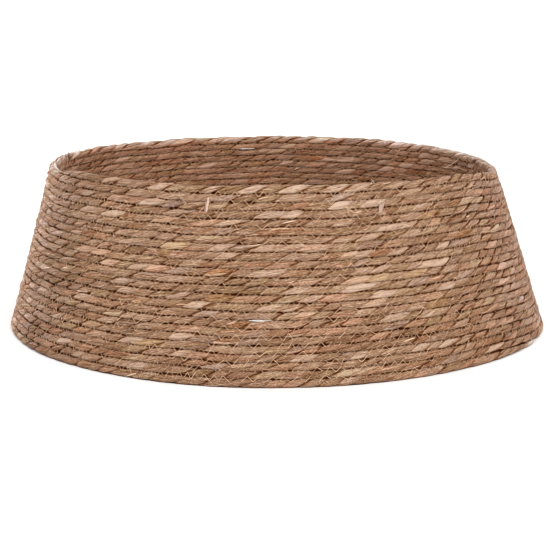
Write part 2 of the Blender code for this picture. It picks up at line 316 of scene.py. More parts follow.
def rope_part(i0, i1):
    """Vertices and fields of the rope between two stations, inclusive."""
    sl = slice(i0 - FIRST, i1 - FIRST + 1)
    n = i1 - i0 + 1
    arc = ARC[sl][:, None]
    ph = PHASE[sl][:, None]
    share = SHARE[sl][:, None]
    half = np.concatenate([U_PLY[None, :] * share * 2 * math.pi,
                           (share + U_PLY[None, :] * (1 - share)) * 2 * math.pi], 1)
    theta = ph + half
    u = np.concatenate([U_PLY, U_PLY])[None, :] * np.ones((n, 1))
    ply = np.concatenate([np.zeros(ROUND // 2, int), np.ones(ROUND // 2, int)])[None, :]
    ply = np.repeat(ply, n, 0)
    arc2 = np.repeat(arc, ROUND, 1)
    k = np.floor((theta + math.pi / 2) / math.pi).astype(int)
    b, q, row = lens_fields(theta, ply, arc2, k)
    bi = np.clip(np.floor(b).astype(int), 0, BLADES)
    bf = b - np.floor(b)
    s = theta - k * math.pi
    fade = np.clip(1.0 - np.abs(s / (math.pi / 2)) ** 4, 0.0, 1.0)
    dip = (1.0 - np.sin(math.pi * np.clip(u, 0.0, 1.0)) ** 0.60) * NOTCH[sl][:, None]
    notch = np.clip(dip, 0.0, 1.0)
    # soft plies press flat where one course lies on the next; the rim's upper side is free
    free = np.clip((TURN[sl] - (LAST_TURN - 1.0)) / 0.004, 0.0, 1.0)[:, None] * (np.sin(theta) > 0.0)
    pressed = np.clip((np.abs(np.sin(theta)) - 0.950) / 0.040, 0.0, 1.0) * (1.0 - free)
    dip = dip * (1.0 - 0.90 * pressed)
    scale = (SCALE[sl] * THICK[sl])[:, None]
    dash = np.where(np.sin(theta) > 0.0, DASH_TOP[sl][:, None], DASH_LOW[sl][:, None])
    # between the dashes the fibres bulge over the groove
    r = rope_section_radius(theta, 2.12 + 0.40 * np.clip(1.0 - 1.6 * dash, 0.0, 1.0)) * scale
    shape = 1.05 - 0.44 * dip
    # each lens lifts a little at its leading edge, and every blade has a crown
    shape += 0.03 * np.sin(math.pi * u) * LEVEL[row, BLADES] * 0.5
    r = r * shape
    fine = (1.0 - notch) * fade * SCALE[sl][:, None]
    r += fine * (0.00020 * (1.0 - (2 * bf - 1) ** 2) + 0.00012 * LEVEL[row, bi])
    r += fine * 0.00005 * smooth_noise((q * 3800 + arc2 * 60).ravel(), 1.0, 41).reshape(q.shape)
    top = np.clip((np.sin(theta) - 0.40) / 0.50, 0.0, 1.0)
    low = np.clip((-np.sin(theta) - 0.40) / 0.50, 0.0, 1.0)
    r -= top * top * (3 - 2 * top) * TOP_BITE[sl][:, None] + low * low * (3 - 2 * low) * LOW_BITE[sl][:, None]
    press = PRESS[sl][:, None]
    depth = r * np.cos(theta) * (1.0 + 0.10 * (1.0 - press)) + SHIFT_DEPTH[sl][:, None]
    up = r * np.sin(theta) * press + (SHIFT_UP[sl] - SINK[sl])[:, None]
    a = AZ[sl][:, None]
    co = wall_points(np.broadcast_to(a, up.shape), np.broadcast_to(HEIGHT[sl][:, None], up.shape), depth, up)
    floor_clear = np.where(HEIGHT[sl] < 1.5, 0.00004, -1.0)[:, None]
    co[..., 2] = np.maximum(co[..., 2], floor_clear)
    deg = (np.degrees(a) + 180.0) % 360.0 - 180.0
    inner = np.clip((-np.cos(theta) - 0.25) / 0.4, 0.0, 1.0)
    flank = np.clip((np.abs(deg) - 34.0) / 22.0, 0.0, 1.0) * (1.0 - inner)
    # painted shade: the grooves between courses, in uneven dashes, and the notches between the plies are darkened
    groove = np.clip((np.abs(np.sin(theta)) - 0.90 + (0.17 + 0.03 * flank) * dash) / 0.11, 0.0, 1.0)
    far = np.clip((np.abs(deg) - 60.0) / 18.0, 0.0, 1.0) * (1.0 - inner)
    groove = groove * np.clip(0.34 + 0.75 * dash, 0.0, 1.0) * (0.88 + 0.12 * flank - 0.30 * far - 0.10 * inner)
    deep = np.clip((notch - 0.34) / 0.5, 0.0, 1.0)
    cavity_shade = 1.0 - (1.0 - (0.66 + 0.14 * flank - 0.30 * far + 0.06 * inner) * deep) * (1.0 - groove * (1.0 - free))
    # the lowest courses are a little darker still
    cavity_shade = np.clip(cavity_shade + 0.02 * np.clip(1.0 - HEIGHT[sl] / 6.0, 0.0, 1.0)[:, None], 0.0, 1.0)
    # painted light and shade round the wall, partly the wall's own colour: the near left side darker, its far edge and
    # the far right paler, the inside lighter at its left and at its right, the lowest outer courses darker
    left = np.clip((-deg - 44.0) / 24.0, 0.0, 1.0) * np.clip((deg + 150.0) / 40.0, 0.0, 1.0) * (1.0 - inner)
    right = np.clip((deg - 50.0) / 22.0, 0.0, 1.0) * np.clip((150.0 - deg) / 40.0, 0.0, 1.0) * (1.0 - inner)
    shaded = np.clip((deg - 95.0) / 20.0, 0.0, 1.0) * np.clip((165.0 - deg) / 20.0, 0.0, 1.0) * inner
    # soft shade towards each groove and along the lower edge of every lens
    side = np.abs(np.sin(theta)) * (1.0 - free)
    low_edge = np.where(np.cos(theta) > 0.0, 1.0 - u, u)
    soft = 0.26 * np.clip((side - 0.42) / 0.55, 0.0, 1.0) ** 1.5
    soft += 0.24 * np.clip((low_edge - 0.60) / 0.40, 0.0, 1.0) ** 1.4 * np.clip(NOTCH[sl][:, None] / 0.60, 0.3, 1.3)
    lit = np.clip((-deg - 95.0) / 20.0, 0.0, 1.0) * np.clip((deg + 165.0) / 20.0, 0.0, 1.0) * inner
    lift = 0.07 * shaded + 0.12 * lit - 0.11 * left + 0.03 * right - soft
    lift = lift - 0.04 * np.clip(1.0 - HEIGHT[sl] / 8.0, 0.0, 1.0)[:, None] * (1.0 - inner)
    lift = lift + 0.56 * left * far + 0.17 * np.clip((-deg - 54.0) / 6.0, 0.0, 1.0) * left + 0.07 * right * far
    # painted shade of the sunken frayed place inside the left of the rim, and a paler patch round it that reaches up to
    # the rim
    pit_shade = np.exp(-((deg + 107.0) / 5.0) ** 2 - ((HEIGHT[sl][:, None] - 21.3) / 0.60) ** 2) * inner
    paler_patch = np.exp(-((deg + 102.0) / 11.0) ** 2) * np.clip((HEIGHT[sl][:, None] - 20.4) / 0.8, 0.0, 1.0) * inner
    lift = lift - 0.16 * pit_shade + 0.22 * paler_patch
    cavity_shade = np.clip(cavity_shade + 0.10 * pit_shade, 0.0, 1.0)
    # painted sheen and highlight: the rim's upper side towards the sides and back, and the far left edge, lighter and
    # bluer; the rim's inside lighter
    rim = np.clip((TURN[sl] - (LAST_TURN - 1.0)) / 0.01, 0.0, 1.0)[:, None]
    beyond = np.clip((np.abs(deg) - 62.0) / 16.0, 0.0, 1.0)
    painted_sheen = rim * np.clip(1.6 * free * np.sin(theta), 0.0, 1.0) * beyond
    corner = np.clip((-deg - 60.0) / 16.0, 0.0, 1.0) * np.clip((deg + 130.0) / 25.0, 0.0, 1.0)
    patches = 0.22 * np.exp(-((deg + 72.0) / 7.0) ** 2) - 0.26 * np.exp(-((deg + 115.0) / 8.0) ** 2)
    lift = lift + painted_sheen * (0.40 - 0.33 * corner - patches) + 0.18 * rim * inner * (1.0 - painted_sheen) * (1.0 - 0.5 * shaded)
    painted_sheen = np.clip(painted_sheen + 0.22 * paler_patch + 0.20 * np.clip((-deg - 54.0) / 8.0, 0.0, 1.0) * left, 0.0, 1.0)
    # mauve is a bluer tint round the sides and on the rim's inside: partly the wall's own colour, partly painted sheen
    return dict(co=co, theta=theta, u=u, ply=ply, arc=arc2, cavity_shade=cavity_shade, inner=inner,
                mauve=np.clip(left + 0.95 * right + 0.5 * rim * inner - pit_shade, 0.0, 1.0), lift=lift, painted_sheen=painted_sheen)


# --------------------------------------------------------------------- mesh helpers
def new_mesh(name, co, faces, corner=None, point=None, uvs=None, smooth=True):
    """faces: list of (M, n) index arrays; corner data follow the faces' order."""
    mesh = bpy.data.meshes.new(name)
    co = np.ascontiguousarray(co.reshape(-1, 3), np.float32)
    mesh.vertices.add(len(co))
    mesh.vertices.foreach_set("co", co.ravel())
    loops = np.concatenate([f.ravel() for f in faces]).astype(np.int32)
    sizes = np.concatenate([np.full(len(f), f.shape[1]) for f in faces])
    starts = np.concatenate([[0], np.cumsum(sizes)[:-1]]).astype(np.int32)
    mesh.loops.add(len(loops))
    mesh.loops.foreach_set("vertex_index", loops)
    mesh.polygons.add(len(sizes))
    mesh.polygons.foreach_set("loop_start", starts)
    mesh.update(calc_edges=True)
    for key, values in (uvs or {}).items():
        layer = mesh.uv_layers.new(name=key)
        layer.uv.foreach_set("vector", np.ascontiguousarray(values, np.float32).ravel())
    for key, values in (corner or {}).items():
        at = mesh.attributes.new(key, "FLOAT", "CORNER")
        at.data.foreach_set("value", np.ascontiguousarray(values, np.float32).ravel())
    for key, values in (point or {}).items():
        at = mesh.attributes.new(key, "FLOAT", "POINT")
        at.data.foreach_set("value", np.ascontiguousarray(values, np.float32).ravel())
    if smooth:
        mesh.polygons.foreach_set("use_smooth", np.ones(len(sizes), bool))
    obj = bpy.data.objects.new(name, mesh)
    bpy.context.scene.collection.objects.link(obj)
    return obj


FOLDS = 8                                        # rows of the piece's own unwrap


def rope_piece(name, i0, i1, material, folds=FOLDS):
    part = rope_part(i0, i1)
    n = i1 - i0 + 1
    co = part["co"]
    centre0, centre1 = co[0].mean(0), co[-1].mean(0)
    verts = np.concatenate([co.reshape(-1, 3), [centre0, centre1]])
    j = np.arange(ROUND)
    jn = (j + 1) % ROUND
    i = np.arange(n - 1)[:, None]
    quads = np.stack([i * ROUND + j, i * ROUND + jn, (i + 1) * ROUND + jn, (i + 1) * ROUND + j], -1)
    quads = quads.reshape(-1, 4)
    c0, c1 = n * ROUND, n * ROUND + 1
    last = (n - 1) * ROUND
    cap = np.concatenate([np.stack([np.full(ROUND, c0), jn, j], -1),
                          np.stack([np.full(ROUND, c1), last + j, last + jn], -1)])
    # fields on face corners, so that they may jump from blade to blade
    theta = np.concatenate([part["theta"], part["theta"][:, :1] + 2 * math.pi], 1)
    arc = np.concatenate([part["arc"], part["arc"][:, :1]], 1)
    di = np.array([0, 0, 1, 1])
    dj = np.array([0, 1, 1, 0])
    ii = (np.arange(n - 1)[:, None, None] + di)
    jj = (j[None, :, None] + dj)
    th = theta[ii, jj]
    ar = arc[ii, jj]
    face_k = np.floor((th.mean(-1) + math.pi / 2) / math.pi).astype(int)
    face_ply = np.broadcast_to((j >= ROUND // 2).astype(int)[None, :], face_k.shape)
    k4 = np.repeat(face_k[..., None], 4, -1)
    p4 = np.repeat(face_ply[..., None], 4, -1)
    b, q, row = lens_fields(th, p4, ar, k4)
    nq, nc = len(quads) * 4, len(cap) * 3
    def both(values, fill=0.0):
        return np.concatenate([values.reshape(-1), np.full(nc, fill)])
    rope_uv = np.stack([both(ar * 1000.0), both(q * 1000.0)], -1)
    # the piece's own unwrap: its length folded into rows
    per = int(math.ceil((n - 1) / folds))
    fold = (np.arange(n - 1) // per)[:, None, None]
    bu = (ii - fold * per) / per * 0.984 + 0.008
    bv = (fold + 0.04 + 0.92 * jj / ROUND) / folds
    bu = np.broadcast_to(bu, th.shape)
    bv = np.broadcast_to(bv, th.shape)
    bake_uv = np.stack([np.concatenate([bu.reshape(-1), np.full(nc, 0.0015)]),
                        np.concatenate([bv.reshape(-1), np.full(nc, 0.0015)])], -1)
    cap_uv = np.tile(np.array([[0.001, 0.0004], [0.003, 0.0004], [0.002, 0.0030]]), (len(cap), 1))
    bake_uv[-nc:] = cap_uv
    # besides the inner side, the point fields carry painted shade, painted light and painted sheen
    cavity_shade = np.concatenate([part["cavity_shade"].reshape(-1), [0.3, 0.3]])
    inner = np.concatenate([part["inner"].reshape(-1), [0.5, 0.5]])
    mauve = np.concatenate([part["mauve"].reshape(-1), [0.0, 0.0]])
    lift = np.concatenate([part["lift"].reshape(-1), [0.0, 0.0]])
    painted_sheen = np.concatenate([part["painted_sheen"].reshape(-1), [0.0, 0.0]])
    obj = new_mesh(name, verts, [quads, cap],
                   corner={"lens": both(row.astype(float)), "blade": both(b), "tinge": both(np.where(ar < -0.0735, 0.8, TINGE[row])),
                           "pale": both(PALE[row] + 0.60 * np.clip((-0.0725 - ar) / 0.0030, 0.0, 1.0), 0.60)},
                   point={"cavity_shade": cavity_shade, "inner": inner, "mauve": mauve, "lift": lift, "painted_sheen": painted_sheen},
                   uvs={"RopeUV": rope_uv, "OFBake": bake_uv})
    obj.data.materials.append(material)
    return obj


# ---------------------------------------------------------------------- materials
def linear(r, g, b):
    def one(v):
        v /= 255.0
        return v / 12.92 if v <= 0.04045 else ((v + 0.055) / 1.055) ** 2.4
    return (one(r), one(g), one(b), 1.0)


class Nodes:
    """Small helper that writes shader trees in few words."""

    def __init__(self, name):
        self.mat = bpy.data.materials.new(name)
        self.mat.use_nodes = True
        self.tree = self.mat.node_tree
        self.bsdf = self.tree.nodes["Principled BSDF"]

    def add(self, kind, **settings):
        node = self.tree.nodes.new(kind)
        for key, value in settings.items():
            setattr(node, key, value)
        return node

    def put(self, socket, value):
        if isinstance(value, bpy.types.NodeSocket):
            self.tree.links.new(value, socket)
        else:
            socket.default_value = value

    def math(self, op, a, b=0.0, c=None, clamp=False):
        node = self.add("ShaderNodeMath", operation=op, use_clamp=clamp)
        self.put(node.inputs[0], a)
        self.put(node.inputs[1], b)
        if c is not None:
            self.put(node.inputs[2], c)
        return node.outputs[0]

    def attribute(self, name):
        return self.add("ShaderNodeAttribute", attribute_name=name).outputs["Fac"]

    def vector(self, x, y, z):
        node = self.add("ShaderNodeCombineXYZ")
        for socket, value in zip(node.inputs, (x, y, z)):
            self.put(socket, value)
        return node.outputs[0]

    def white(self, vector):
        node = self.add("ShaderNodeTexWhiteNoise", noise_dimensions="3D")
        self.put(node.inputs["Vector"], vector)
        split = self.add("ShaderNodeSeparateColor")
        self.put(split.inputs[0], node.outputs["Color"])
        return [node.outputs["Value"]] + list(split.outputs)

    def noise(self, vector, scale=1.0, detail=2.0, rough=0.5):
        node = self.add("ShaderNodeTexNoise", noise_dimensions="3D")
        self.put(node.inputs["Vector"], vector)
        node.inputs["Scale"].default_value = scale
        node.inputs["Detail"].default_value = detail
        node.inputs["Roughness"].default_value = rough
        return node.outputs[0]

    def mix(self, factor, a, b, blend="MIX"):
        node = self.add("ShaderNodeMix", data_type="RGBA", blend_type=blend)
        self.put(node.inputs["Factor"], factor)
        self.put(node.inputs[6], a)
        self.put(node.inputs[7], b)
        return node.outputs[2]

    def choose(self, factor, a, b):
        node = self.add("ShaderNodeMix", data_type="FLOAT")
        self.put(node.inputs[0], factor)
        self.put(node.inputs[2], a)
        self.put(node.inputs[3], b)
        return node.outputs[0]

    def ramp(self, factor, stops, mode="CONSTANT"):
        node = self.add("ShaderNodeValToRGB")
        ramp = node.color_ramp
        ramp.interpolation = mode
        while len(ramp.elements) < len(stops):
            ramp.elements.new(0.5)
        for element, (position, colour) in zip(ramp.elements, stops):
            element.position = position
            element.color = colour
        self.put(node.inputs[0], factor)
        return node.outputs[0]

    def span(self, value, a, b, c=0.0, d=1.0):
        node = self.add("ShaderNodeMapRange", clamp=True)
        self.put(node.inputs[0], value)
        for index, number in zip((1, 2, 3, 4), (a, b, c, d)):
            node.inputs[index].default_value = number
        return node.outputs[0]

    def scale_colour(self, colour, factor):
        node = self.add("ShaderNodeVectorMath", operation="SCALE")
        self.put(node.inputs[0], colour)
        self.put(node.inputs["Scale"], factor)
        return node.outputs[0]

    def bump(self, height, strength, distance, normal=None):
        node = self.add("ShaderNodeBump")
        node.inputs["Strength"].default_value = strength
        node.inputs["Distance"].default_value = distance
        self.put(node.inputs["Height"], height)
        if normal is not None:
            self.put(node.inputs["Normal"], normal)
        return node.outputs[0]


TONES = [                                        # from shaded brown to straw
    (0.00, (78, 41, 12)), (0.14, (101, 59, 27)), (0.28, (130, 88, 57)),
    (0.42, (153, 114, 86)), (0.56, (174, 136, 108)), (0.70, (193, 157, 129)),
    (0.84, (213, 178, 152)), (1.00, (244, 216, 194)),
]
TINTS = [                                        # share, gain of red, green, blue
    (0.43, (1.00, 1.00, 1.00)), (0.14, (1.020, 0.982, 0.970)), (0.13, (0.985, 1.000, 0.962)),
    (0.08, (1.020, 0.990, 0.955)), (0.08, (1.024, 0.968, 0.940)), (0.06, (0.975, 0.995, 1.045)),
    (0.08, (1.0, 1.0, 1.02)),
]


def gained(colour, gain):
    r, g, b, _ = linear(*colour)
    return (r * gain, g * gain, b * gain, 1.0)


def tint_stops():
    stops, at = [], 0.0
    for share, gain in TINTS:
        stops.append((at, (*[v ** 2.2 * 0.5 for v in gain], 1.0)))
        at += share
    return stops


def rope_material():
    n = Nodes("seagrass_rope_looks")
    uv = n.add("ShaderNodeUVMap", uv_map="RopeUV").outputs[0]
    split = n.add("ShaderNodeSeparateXYZ")
    n.put(split.inputs[0], uv)
    along, across = split.outputs[0], split.outputs[1]        # millimetres
    lens, blade, cavity_shade = n.attribute("lens"), n.attribute("blade"), n.attribute("cavity_shade")
    number = n.math("FLOOR", blade)
    place = n.math("FRACT", blade)
    seed = n.math("MULTIPLY", n.math("FLOOR", n.math("ADD", lens, 0.5)), 0.37)
    own = n.white(n.vector(seed, n.math("MULTIPLY", number, 1.91), 3.1))
    whole = n.white(n.vector(seed, 11.7, 0.4))

    def grain(a, b, detail, rough):
        z = n.math("ADD", n.math("MULTIPLY", seed, 3.0), n.math("MULTIPLY", number, 7.3))
        return n.noise(n.vector(n.math("MULTIPLY", along, a), n.math("MULTIPLY", across, b), z), 1.0, detail, rough)

    fibre = grain(0.12, 3.4, 3.0, 0.65)          # fine lines along the blade
    streak = grain(0.06, 0.95, 2.0, 0.5)         # broad stripes
    blotch = grain(0.18, 0.30, 2.0, 0.5)
    speck = grain(0.60, 1.45, 2.0, 0.7)

    def part(value, amount):
        return n.math("MULTIPLY", n.math("SUBTRACT", value, 0.5), amount)

    tone = n.math("ADD", 0.635, part(whole[1], 0.18))
    for value, amount in ((own[1], 0.15), (fibre, 1.50), (streak, 0.50), (blotch, 0.30), (speck, 1.50)):
        tone = n.math("ADD", tone, part(value, amount))
    tone = n.math("ADD", tone, n.math("MULTIPLY", n.attribute("pale"), 0.85))
    # a few straw-pale and a few dark blades
    tone = n.math("ADD", tone, n.math("MULTIPLY", n.math("LESS_THAN", own[0], 0.07), 0.30))
    tone = n.math("ADD", tone, n.math("MULTIPLY", n.math("LESS_THAN", whole[0], 0.05), 0.22))
    tone = n.math("SUBTRACT", tone, n.math("MULTIPLY", n.math("GREATER_THAN", own[0], 0.93), 0.16))
    edge = n.math("MINIMUM", place, n.math("SUBTRACT", 1.0, place))
    tone = n.math("SUBTRACT", tone, n.span(edge, 0.0, 0.09, 0.22, 0.0))
    # painted shade: darker in the grooves and between the plies
    tone = n.math("SUBTRACT", tone, n.math("MULTIPLY", cavity_shade, 0.62))
    colour = n.ramp(tone, [(at, gained(c, 0.635)) for at, c in TONES], "LINEAR")
    tint = n.ramp(n.choose(n.math("LESS_THAN", own[2], 0.5), own[3], whole[3]), tint_stops())
    tint = n.mix(n.span(n.attribute("pale"), 0.05, 0.25, 0.0, 0.8), tint, (0.50, 0.50, 0.515, 1.0))   # pale ones are greyer
    colour = n.scale_colour(n.mix(1.0, colour, tint, "MULTIPLY"), 2.0)
    # the painted shade is made redder as well as darker deep between the plies and in the grooves
    shade = n.mix(cavity_shade, (1.0, 0.948, 0.888, 1.0), (0.94, 0.52, 0.22, 1.0))   # redder deep between the plies
    colour = n.mix(1.0, colour, shade, "MULTIPLY")
    tinge = n.ramp(n.attribute("tinge"), [(0.0, (1.0, 1.0, 1.0, 1.0)), (0.2, (1.02, 1.0, 0.82, 1.0)),
                                          (0.45, (1.03, 0.94, 0.80, 1.0)), (0.7, (0.96, 0.98, 1.06, 1.0))])
    colour = n.mix(1.0, colour, tinge, "MULTIPLY")
    # a bluer tint round the sides and on the rim's inside: partly the wall's own colour, partly painted sheen
    colour = n.mix(n.attribute("mauve"), colour, n.mix(1.0, colour, (1.0, 1.035, 1.15, 1.0), "MULTIPLY"))
    # painted sheen: the rim's upper side towards the sides and back, the far left edge and a patch inside the rim's
    # left, made paler and bluer
    colour = n.mix(n.attribute("painted_sheen"), colour, n.mix(1.0, colour, (0.97, 1.22, 1.48, 1.0), "MULTIPLY"))
    # painted light and shade: lighter and darker by place round the wall, with soft shade towards the grooves and along
    # the lower edge of each lens
    colour = n.scale_colour(colour, n.math("ADD", n.attribute("lift"), 1.0))
    # the inside is darker and redder: partly its own less bleached brown, partly painted shade
    colour = n.mix(n.attribute("inner"), colour, n.mix(1.0, colour, (0.955, 0.858, 0.830, 1.0), "MULTIPLY"))
    n.put(n.bsdf.inputs["Base Color"], colour)
    n.put(n.bsdf.inputs["Roughness"], n.span(streak, 0.3, 0.7, 0.56, 0.76))
    n.bsdf.inputs["Specular IOR Level"].default_value = 0.05
    height = n.math("ADD", n.math("MULTIPLY", fibre, 0.8), n.math("MULTIPLY", n.span(edge, 0.0, 0.14), 0.6))
    height = n.math("ADD", height, n.math("MULTIPLY", speck, 0.5))
    n.put(n.bsdf.inputs["Normal"], n.bump(height, 1.0, 0.00040))
    return n.mat


def thread_material(name, colour_a, colour_b, roughness=0.5):
    n = Nodes(name)
    uv = n.add("ShaderNodeUVMap", uv_map="ThreadUV").outputs[0]
    split = n.add("ShaderNodeSeparateXYZ")
    n.put(split.inputs[0], uv)
    along, across = split.outputs[0], split.outputs[1]
    tone = n.attribute("tone")
    colour = n.mix(tone, linear(*colour_a), linear(*colour_b))
    twist = n.math("SINE", n.math("ADD", n.math("MULTIPLY", along, 9.0), n.math("MULTIPLY", across, 6.2832)))
    grain = n.noise(n.vector(along, across, tone), 1.3, 2.0, 0.6)
    level = n.math("ADD", n.span(twist, -1.0, 1.0, 0.88, 1.06), n.math("MULTIPLY", n.math("SUBTRACT", grain, 0.5), 0.3))
    n.put(n.bsdf.inputs["Base Color"], n.scale_colour(colour, level))
    n.bsdf.inputs["Roughness"].default_value = roughness
    n.bsdf.inputs["Specular IOR Level"].default_value = 0.4
    n.put(n.bsdf.inputs["Normal"], n.bump(twist, 0.35, 0.00008))
    return n.mat


# --------------------------------------------------------------------- thin tubes
def tube_bundle(name, paths, sides, material, columns=1):
    """Many thin tubes as one piece.  paths: dicts with p (N,3), r (N), tone."""
    all_co, quads, tris, tone, uv_q, uv_t, bake_q, bake_t = [], [], [], [], [], [], [], []
    base = 0
    rows = max(1, math.ceil(sum(p.get("rows", 1) for p in paths) / columns))
    row_at = 0
    for path in paths:
        p, r = path["p"], path["r"]
        n = len(p)
        t = np.gradient(p, axis=0)
        t /= np.linalg.norm(t, axis=1, keepdims=True) + 1e-12
        ref = path.get("ref")
        if ref is None:
            ref = np.broadcast_to(np.array([0.0, 0.0, 1.0]), p.shape)
        e1 = np.cross(t, ref)
        e1 /= np.linalg.norm(e1, axis=1, keepdims=True) + 1e-12
        e2 = np.cross(e1, t)
        w = path.get("flat", 1.0)
        ang = 2 * math.pi * np.arange(sides) / sides
        ring = (p[:, None, :] + r[:, None, None] * (np.cos(ang)[None, :, None] * e1[:, None, :]
                + w * np.sin(ang)[None, :, None] * e2[:, None, :]))
        all_co.append(ring.reshape(-1, 3))
        j = np.arange(sides)
        jn = (j + 1) % sides
        i = np.arange(n - 1)[:, None]
        q = np.stack([i * sides + j, (i + 1) * sides + j, (i + 1) * sides + jn, i * sides + jn], -1).reshape(-1, 4)
        quads.append(q + base)
        length = np.concatenate([[0], np.cumsum(np.linalg.norm(np.diff(p, axis=0), axis=1))]) * 1000
        di = np.array([0, 1, 1, 0])
        dj = np.array([0, 0, 1, 1])
        ii = np.arange(n - 1)[:, None, None] + di
        jj = j[None, :, None] + dj
        ii, jj = np.broadcast_arrays(ii, jj)
        uv_q.append(np.stack([length[ii], jj / sides], -1).reshape(-1, 2))
        k = path.get("rows", 1)
        per = int(math.ceil((n - 1) / k))
        fold = np.broadcast_to((np.arange(n - 1) // per)[:, None, None], ii.shape)
        cell = row_at + fold
        bake_q.append(np.stack([(cell % columns + (ii - fold * per) / per * 0.99 + 0.005) / columns,
                                (cell // columns + 0.06 + 0.88 * jj / sides) / rows], -1).reshape(-1, 2))
        # end caps: fans
        fan = np.stack([np.zeros(sides - 2, int), j[1:-1], j[2:]], -1)
        last = (n - 1) * sides
        cap = np.concatenate([fan, last + fan[:, ::-1]])
        tris.append(cap + base)
        uv_t.append(np.zeros((cap.size, 2)))
        spot = np.tile(np.array([[0.001, 0.1 / rows], [0.003, 0.1 / rows], [0.002, 0.6 / rows]]), (len(cap), 1))
        bake_t.append(spot + np.array([row_at % columns / columns, row_at // columns / rows]))
        row_at += k
        tv = path["tone"]
        tone.append(np.repeat(np.broadcast_to(tv, (n,)), sides))
        base += n * sides
    obj = new_mesh(name, np.concatenate(all_co),
                   [np.concatenate(quads), np.concatenate(tris)],
                   point={"tone": np.concatenate(tone)},
                   uvs={"ThreadUV": np.concatenate(uv_q + uv_t), "OFBake": np.concatenate(bake_q + bake_t)})
    obj.data.materials.append(material)
    return obj


def shift_at(turn):
    return (np.interp(turn, TURN, SHIFT_UP), np.interp(turn, TURN, SHIFT_DEPTH))


def outwards(turn):
    """Unit vector out through the wall."""
    a = azimuth(turn)
    al = lean(a)
    return np.stack([np.cos(al) * np.sin(a), -np.cos(al) * np.cos(a), np.sin(al)], -1)


def stitch_path(course, inside, seed):
    """Zigzag thread in the groove above a course (0 is the lowest)."""
    rng = np.random.default_rng(seed)
    first, last = course + 0.0006, min(course + 1.0, BODY_END - 1.0) - 0.0006
    start = np.interp(first, TURN, ARC)
    length = np.interp(last, TURN, ARC) - start
    n = int(length / 0.0052)
    slow = smooth_noise(start + np.arange(n) * 0.0052, 0.09, seed + 40)
    step = (1.0 + 0.22 * slow) * np.exp(rng.normal(0, 0.16, n))
    at = np.concatenate([[0.0], np.cumsum(step)])
    at *= length / at[-1]
    side = np.where(np.arange(n + 1) % 2 == 0, 1.0, -1.0)
    tall = 0.0028 + 0.0005 * smooth_noise(start + at, 0.12, seed + 80) + rng.normal(0, 0.00035, n + 1)
    tall = np.where(rng.random(n + 1) < 0.05, tall * 1.45, tall)
    high = side * tall
    face = -1.0 if inside else 1.0
    falling = np.arange(n) % 2 == 0               # strokes that show as a backslash
    hidden = np.clip(0.48 + 0.90 * smooth_noise(start + at[:-1], 0.050, seed + 120), 0.0, 1.0)
    sunk = rng.normal(0.0, 0.00026, n) - np.where(falling, 0.00005, 0.00045) - 0.00125 * hidden ** 1.3
    knots, ups, deps = [], [], []
    for f in (0.0, 0.13, 0.5, 0.87):
        x = at[:-1] * (1 - f) + at[1:] * f
        y = high[:-1] * (1 - f) + high[1:] * f
        # at its turns the thread dives into the rope's skin, and between them it lies across the groove
        bridge = np.full(n, 0.00385) if f == 0.0 else 0.00440 + sunk - (0.00020 if f == 0.5 else 0.0)
        knots.append(x), ups.append(y), deps.append(bridge)
    x = np.stack(knots, 1).ravel()
    y = np.stack(ups, 1).ravel()
    d = np.stack(deps, 1).ravel()
    turn = np.interp(start + x, ARC, TURN)
    up0, de0 = shift_at(turn)
    up1, de1 = shift_at(turn + 1.0)
    mix = 0.5 + 0.5 * np.clip(y / 0.0031, -1, 1)
    if not inside:
        off = np.abs((np.degrees(azimuth(turn)) + 180.0) % 360.0 - 180.0)
        right = np.sin(azimuth(turn)) > 0.0
        d = d - np.where(right, 0.00160, 0.00085) * np.clip((off - 36.0) / 22.0, 0.0, 1.0) * np.clip((140.0 - off) / 20.0, 0.0, 1.0)
    p = wall_points(azimuth(turn), course_height(turn) + 0.5,
                    face * d * (0.97 if inside else 1.0) + de0 * (1 - mix) + de1 * mix,
                    y + up0 * (1 - mix) + up1 * mix, course_height(turn) + mix)
    tone = np.repeat(rng.random(n), 4)
    return dict(p=p, r=np.full(len(p), 0.00024 if inside else 0.00026), ref=outwards(turn), tone=tone, rows=6)


# --------------------------------------------------------- loose fibres and strips
def skin(turn, y, lift, face=1.0):
    """Points by the rope's face: y above its middle, lift off it.  In the groove they bridge it."""
    up0, de0 = shift_at(turn)
    thick = np.interp(turn, TURN, THICK)
    reach = np.clip(np.abs(y) / R_UP, 0.0, 0.80)
    d = 1.04 * R_DEPTH * thick * (1.0 - reach ** 2.12) ** (1 / 2.12)
    return wall_points(azimuth(turn), course_height(turn), face * (d + lift) + de0, y + up0)


def hair(rng, turn, y0, length, slope, bend, lift, loose, radius, tone, face=1.0, points=6, flat=1.0, reach=0.02):
    """One fibre or sliver: x runs along the rope, towards its end, slope is its fall per metre."""
    f = np.linspace(0.0, 1.0, points)
    x = (f - 0.5) * length
    y = np.clip(y0 - slope * x + bend * (f - 0.5) ** 2 * length, -reach, reach)
    r = np.hypot(*wall_points(azimuth(turn), course_height(turn))[..., :2].T)
    turns = np.clip(turn + x / (2 * math.pi * r), TURN[0] + 1e-4, TURN[-1] - 1e-4)
    rise = lift + loose * f ** 2 - 0.00012 * (1 - f) ** 4
    p = skin(turns, y, rise, face)
    p[:, 2] = np.maximum(p[:, 2], 0.0004)
    ends = np.sqrt(np.clip(1.0 - (2 * f - 1) ** 6, 0.12, 1.0))
    return dict(p=p, r=radius * ends, ref=outwards(turns) * face, tone=tone, flat=flat)


